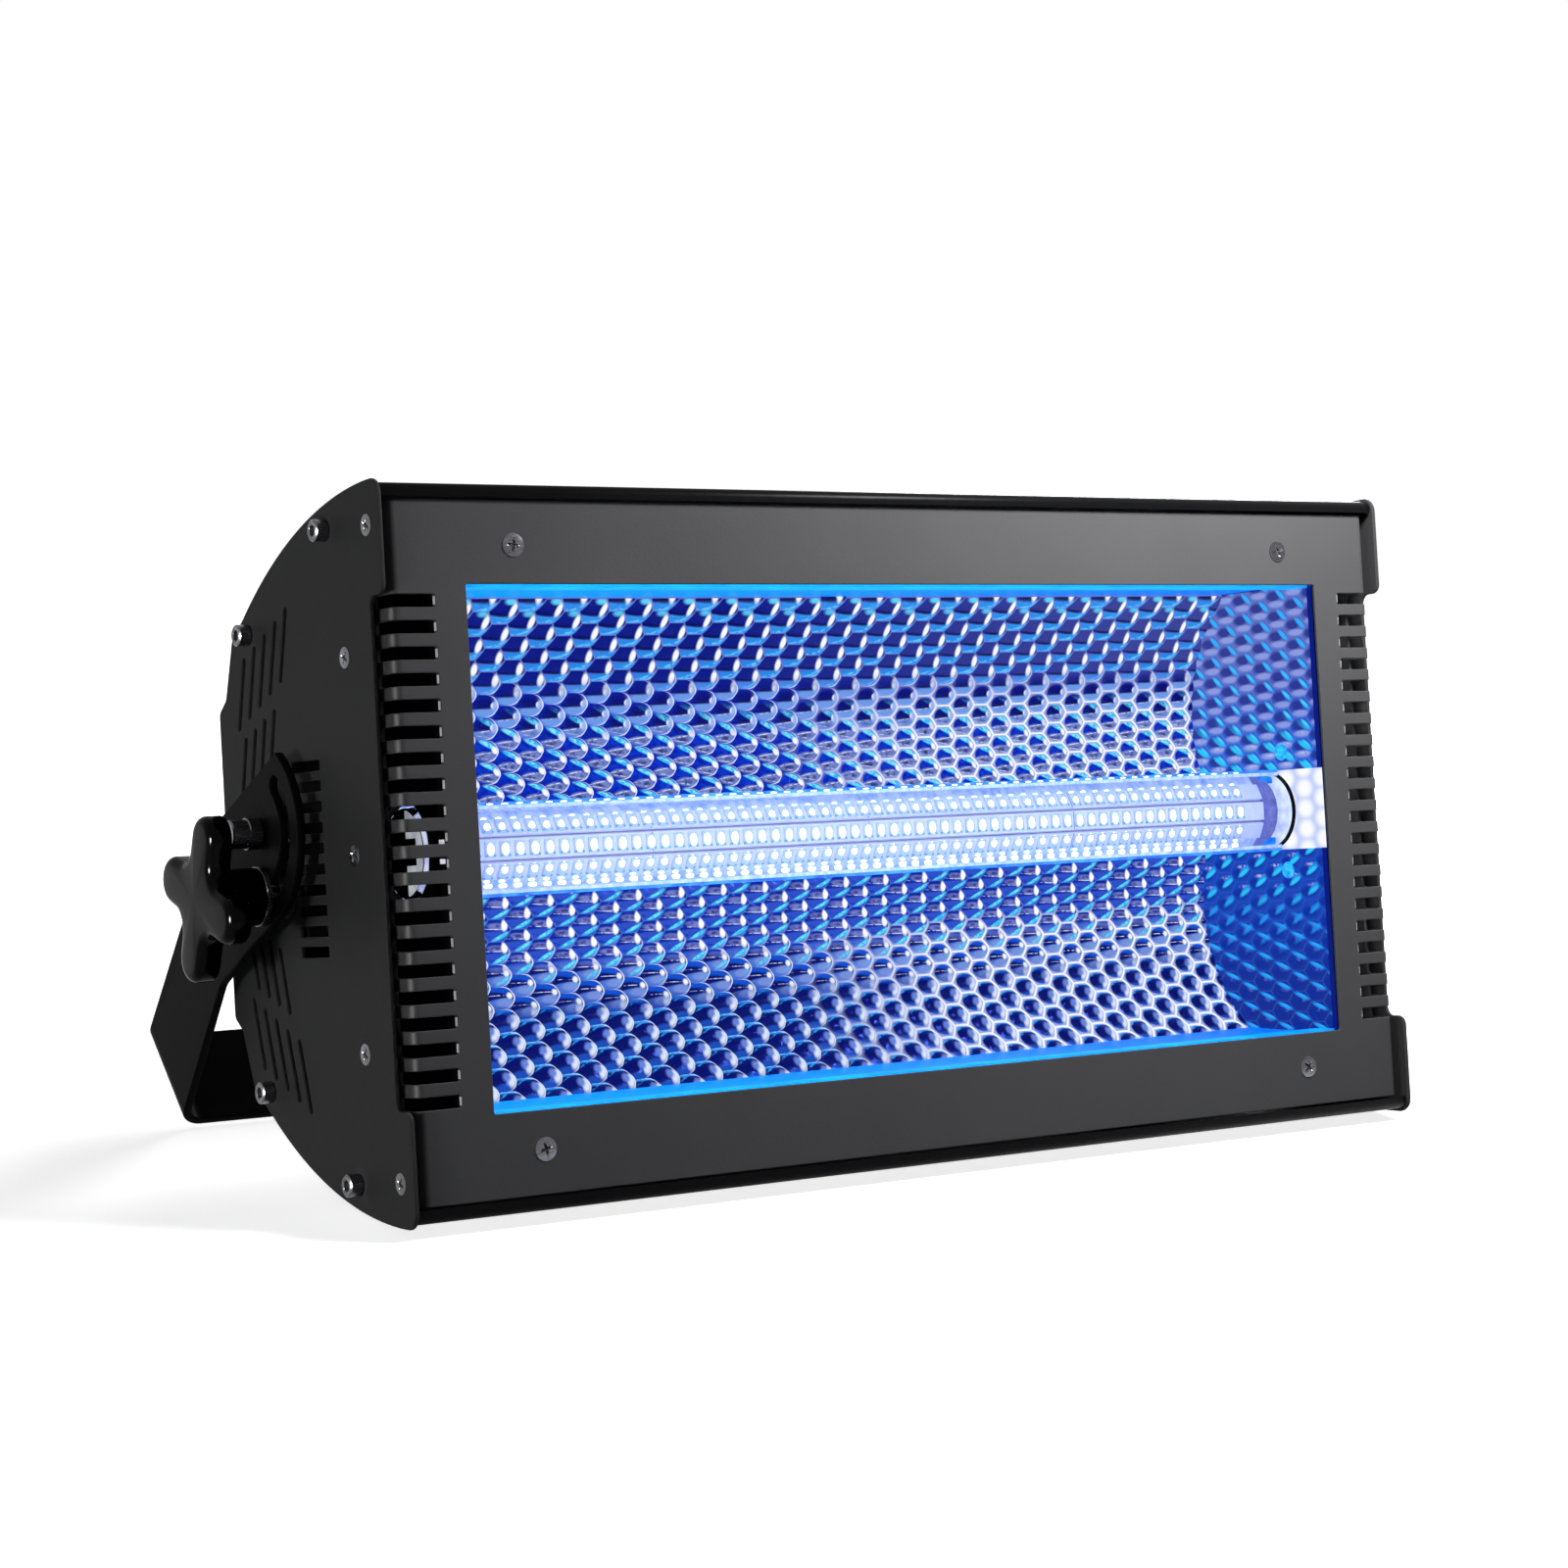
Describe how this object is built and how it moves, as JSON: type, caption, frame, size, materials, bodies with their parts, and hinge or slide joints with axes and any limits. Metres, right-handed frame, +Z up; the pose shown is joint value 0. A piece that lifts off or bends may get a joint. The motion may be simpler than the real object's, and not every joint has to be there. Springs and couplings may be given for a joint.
{
  "type": "strobe light",
  "caption": "Wide LED strobe head with a dimpled reflector window, slotted side vents and a tilting floor and hanging yoke.",
  "frame": {"origin": "on the floor under the middle of the light's box, as it stands on its lower arches and the yoke's strap", "axes": "+X along the width towards the light's own left seen from behind its window, the window faces -Y, +Z up"},
  "size_m": [0.495, 0.1984, 0.2358],
  "materials": {
    "powder_coated_steel": "satin",
    "gloss_black_steel": "gloss",
    "black_plastic": "matte",
    "gloss_black_plastic": "gloss",
    "black_rubber": "matte",
    "clear_glass": "polished",
    "clear_acrylic": "polished",
    "bright_reflector": "polished",
    "bare_aluminium": "brushed",
    "white_led_board": "satin",
    "blue_led_board": "satin",
    "green_circuit_board": "satin",
    "zinc_plated_steel": "satin",
    "black_oxide_steel": "satin"
  },
  "bodies": {
    "lamp_head": {"side_cheek_right": "powder_coated_steel", "side_cheek_left": "powder_coated_steel", "top_cover": "gloss_black_steel", "bottom_cover": "gloss_black_steel", "rear_panel": "powder_coated_steel", "display_window": "gloss_black_plastic", "power_inlet": "black_plastic", "power_outlet": "black_plastic", "data_inlet": "black_plastic", "data_outlet": "black_plastic", "fuse_holder": "black_plastic", "safety_eye": "powder_coated_steel", "front_bezel": "powder_coated_steel", "window_gasket": "black_rubber", "window_glass": "clear_glass", "light_box_top": "bright_reflector", "light_box_bottom": "bright_reflector", "reflector_upper": "bright_reflector", "reflector_lower": "bright_reflector", "end_mirror_right": "bright_reflector", "end_mirror_left": "bright_reflector", "aura_board_top": "blue_led_board", "aura_board_bottom": "blue_led_board", "led_carrier": "bare_aluminium", "led_board_front": "white_led_board", "led_board_lower": "white_led_board", "led_board_upper": "white_led_board", "tube_cover": "clear_acrylic", "carrier_collar_right": "black_plastic", "carrier_collar_left": "black_plastic", "tube_bracket_right": "bare_aluminium", "tube_bracket_left": "bare_aluminium", "fan_frame_left": "black_plastic", "fan_frame_right": "black_plastic", "power_supply": "bare_aluminium", "control_board": "green_circuit_board", "pivot_screw_right": "black_oxide_steel", "pivot_screw_left": "black_oxide_steel", "pivot_spacer_right": "zinc_plated_steel", "pivot_spacer_left": "zinc_plated_steel", "clamp_bush_right": "zinc_plated_steel", "clamp_bush_left": "zinc_plated_steel", "cap_screw_right_1": "black_oxide_steel", "cap_screw_left_1": "black_oxide_steel", "cap_screw_right_2": "black_oxide_steel", "cap_screw_left_2": "black_oxide_steel", "cap_screw_right_3": "black_oxide_steel", "cap_screw_left_3": "black_oxide_steel", "cap_screw_right_4": "black_oxide_steel", "cap_screw_left_4": "black_oxide_steel"},
    "yoke": {"yoke": "powder_coated_steel"},
    "clamp_knob_left": {"clamp_knob_left": "gloss_black_plastic"},
    "clamp_knob_right": {"clamp_knob_right": "gloss_black_plastic"},
    "fan_rotor_left": {"fan_rotor_left": "black_plastic"},
    "fan_rotor_right": {"fan_rotor_right": "black_plastic"},
    "menu_button_1": {"menu_button_1": "black_rubber"},
    "menu_button_2": {"menu_button_2": "black_rubber"},
    "menu_button_3": {"menu_button_3": "black_rubber"},
    "menu_button_4": {"menu_button_4": "black_rubber"}
  },
  "joints": [
    {"name": "yoke_tilt", "type": "hinge", "parent": "lamp_head", "child": "yoke", "pos_m": [0, 0.00583, 0.11402], "axis": [1, 0, 0], "range_deg": [-35, 137]},
    {"name": "knob_turn_left", "type": "hinge", "parent": "lamp_head", "child": "clamp_knob_left", "pos_m": [-0.236, 0.0019, 0.09339], "axis": [1, 0, 0], "continuous": true},
    {"name": "knob_turn_right", "type": "hinge", "parent": "lamp_head", "child": "clamp_knob_right", "pos_m": [0.236, 0.0019, 0.09339], "axis": [1, 0, 0], "continuous": true},
    {"name": "fan_spin_left", "type": "hinge", "parent": "lamp_head", "child": "fan_rotor_left", "pos_m": [-0.162, 0.04007, 0.09763], "axis": [0, 0.9824, -0.1869], "continuous": true},
    {"name": "fan_spin_right", "type": "hinge", "parent": "lamp_head", "child": "fan_rotor_right", "pos_m": [0.162, 0.04007, 0.09763], "axis": [0, 0.9824, -0.1869], "continuous": true},
    {"name": "menu_press_1", "type": "slide", "parent": "lamp_head", "child": "menu_button_1", "axis": [0, -0.9824, 0.1869], "range_m": [0, 0.0009], "stiffness_N_per_m": 600, "springref_m": -0.0006},
    {"name": "menu_press_2", "type": "slide", "parent": "lamp_head", "child": "menu_button_2", "axis": [0, -0.9824, 0.1869], "range_m": [0, 0.0009], "stiffness_N_per_m": 600, "springref_m": -0.0006},
    {"name": "menu_press_3", "type": "slide", "parent": "lamp_head", "child": "menu_button_3", "axis": [0, -0.9824, 0.1869], "range_m": [0, 0.0009], "stiffness_N_per_m": 600, "springref_m": -0.0006},
    {"name": "menu_press_4", "type": "slide", "parent": "lamp_head", "child": "menu_button_4", "axis": [0, -0.9824, 0.1869], "range_m": [0, 0.0009], "stiffness_N_per_m": 600, "springref_m": -0.0006}
  ]
}
